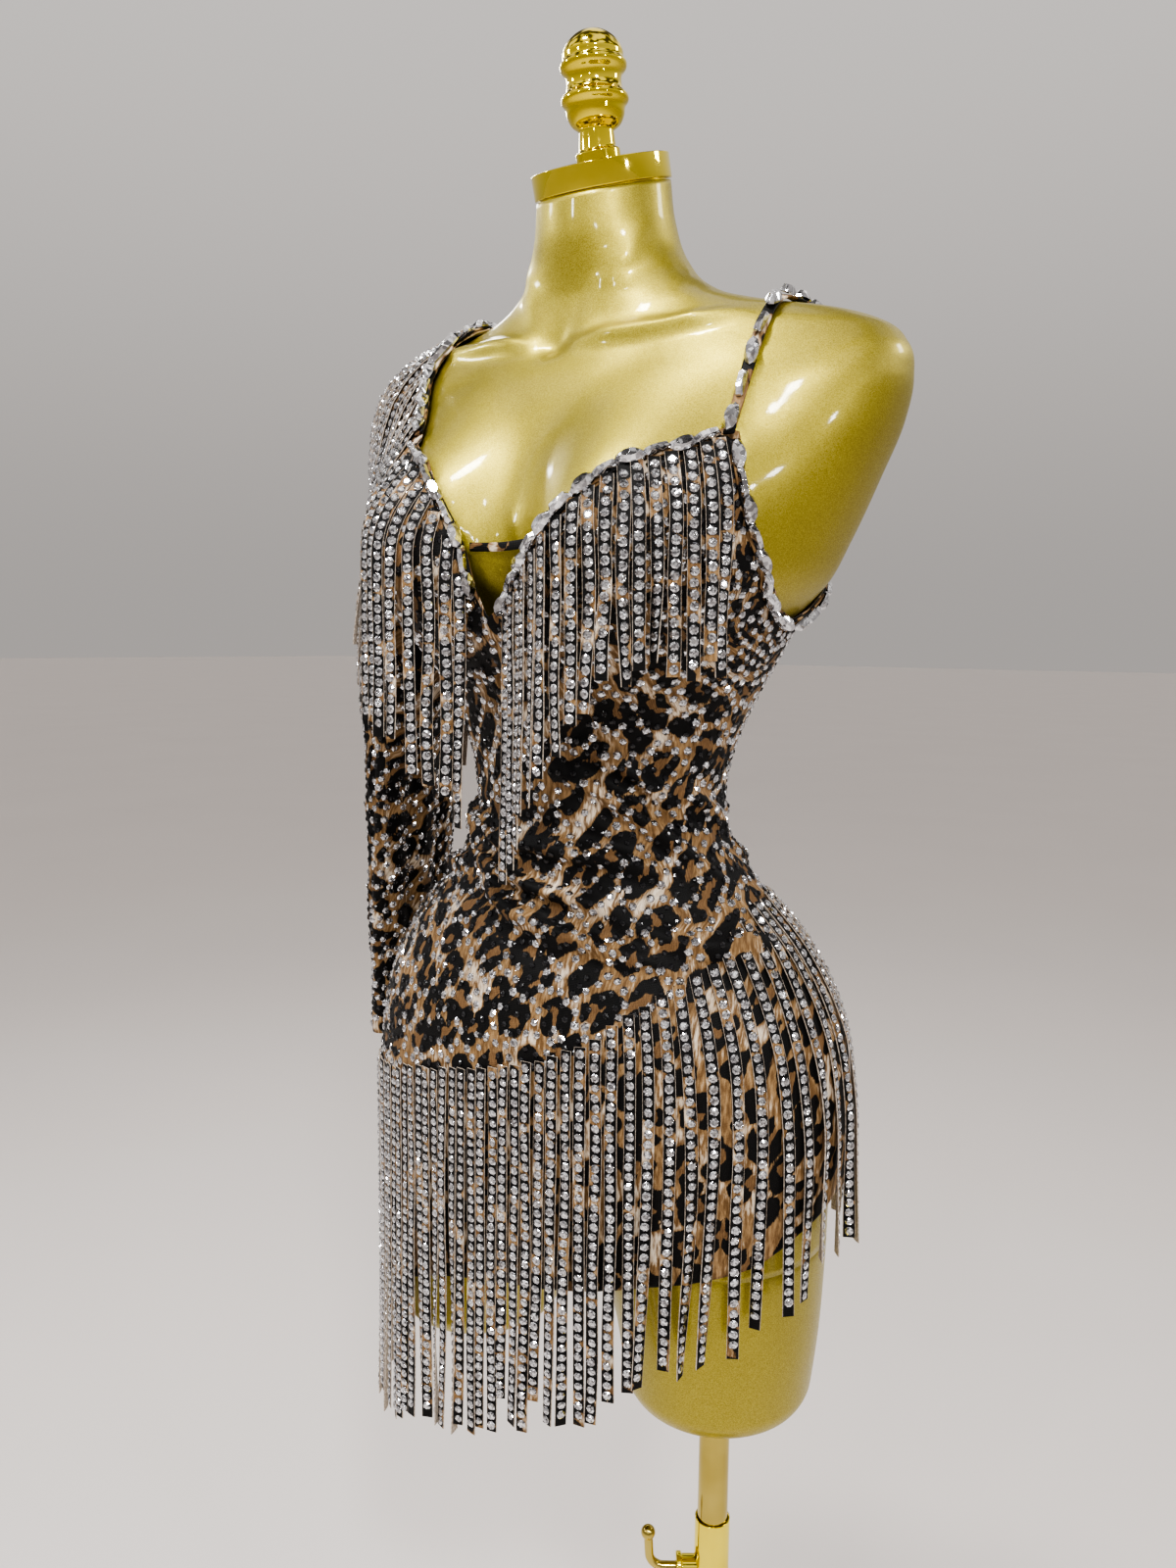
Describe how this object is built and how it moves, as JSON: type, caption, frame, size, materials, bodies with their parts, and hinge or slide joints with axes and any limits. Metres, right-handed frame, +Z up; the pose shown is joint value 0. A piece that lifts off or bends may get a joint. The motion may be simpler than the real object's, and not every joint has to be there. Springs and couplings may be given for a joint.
{
  "type": "fringed one-sleeve mini dress on a limbless dress form with a telescopic stand",
  "caption": "Leopard-print stretch mini dress with a long empty sleeve on the right, crystal-studded ribbon fringe at chest, shoulder and hips, on a gold dress form with a pole stand.",
  "frame": {"origin": "centre of the underside of the stand's round base, on the pole's axis", "axes": "+Z up along the pole, the form faces -Y, +X towards the wearer's left"},
  "size_m": [0.5121, 0.34, 1.6412],
  "materials": {
    "gold_paint": "metallic gold paint with fine flake under clear gloss",
    "gold_chrome": "polished yellow-gold plating",
    "steel_tube": "polished pale gold plating",
    "leopard_knit": "printed stretch knit, brown and black on cream",
    "stone_edging": "bound edge under clear foil-backed stones",
    "crystal_fringe": "ribbon strips under clear foil-backed stones"
  },
  "bodies": {
    "stand": {"base": "gold_chrome", "outer_pole": "gold_chrome", "clamp_boss": "gold_chrome"},
    "clamp": {"clamp_screw": "gold_chrome"},
    "mast": {"inner_pole": "steel_tube"},
    "form": {"form": "gold_paint", "neck_cap": "gold_chrome", "finial": "gold_chrome", "dress_front": "leopard_knit", "dress_back": "leopard_knit", "shoulder_yoke": "leopard_knit", "sleeve": "leopard_knit", "shoulder_strap": "leopard_knit", "bridge_strap": "leopard_knit", "neck_binding_left": "stone_edging", "neck_binding_right": "stone_edging", "armhole_binding_left": "stone_edging", "back_binding": "stone_edging", "yoke_binding": "stone_edging", "chest_fringe_left": "crystal_fringe", "chest_fringe_right": "crystal_fringe", "sleeve_fringe": "crystal_fringe", "hip_fringe_front": "crystal_fringe", "hip_fringe_back": "crystal_fringe"}
  },
  "joints": [
    {"name": "mast_slide", "type": "slide", "parent": "stand", "child": "mast", "axis": [0, 0, 1], "range_m": [-0.08, 0.2]},
    {"name": "form_turn", "type": "hinge", "parent": "mast", "child": "form", "pos_m": [0, 0, 0.78], "axis": [0, 0, 1], "continuous": true},
    {"name": "clamp_turn", "type": "hinge", "parent": "stand", "child": "clamp", "pos_m": [0, 0, 0.578], "axis": [-0.8387, -0.5446, 0], "range_deg": [-180, 180]}
  ]
}
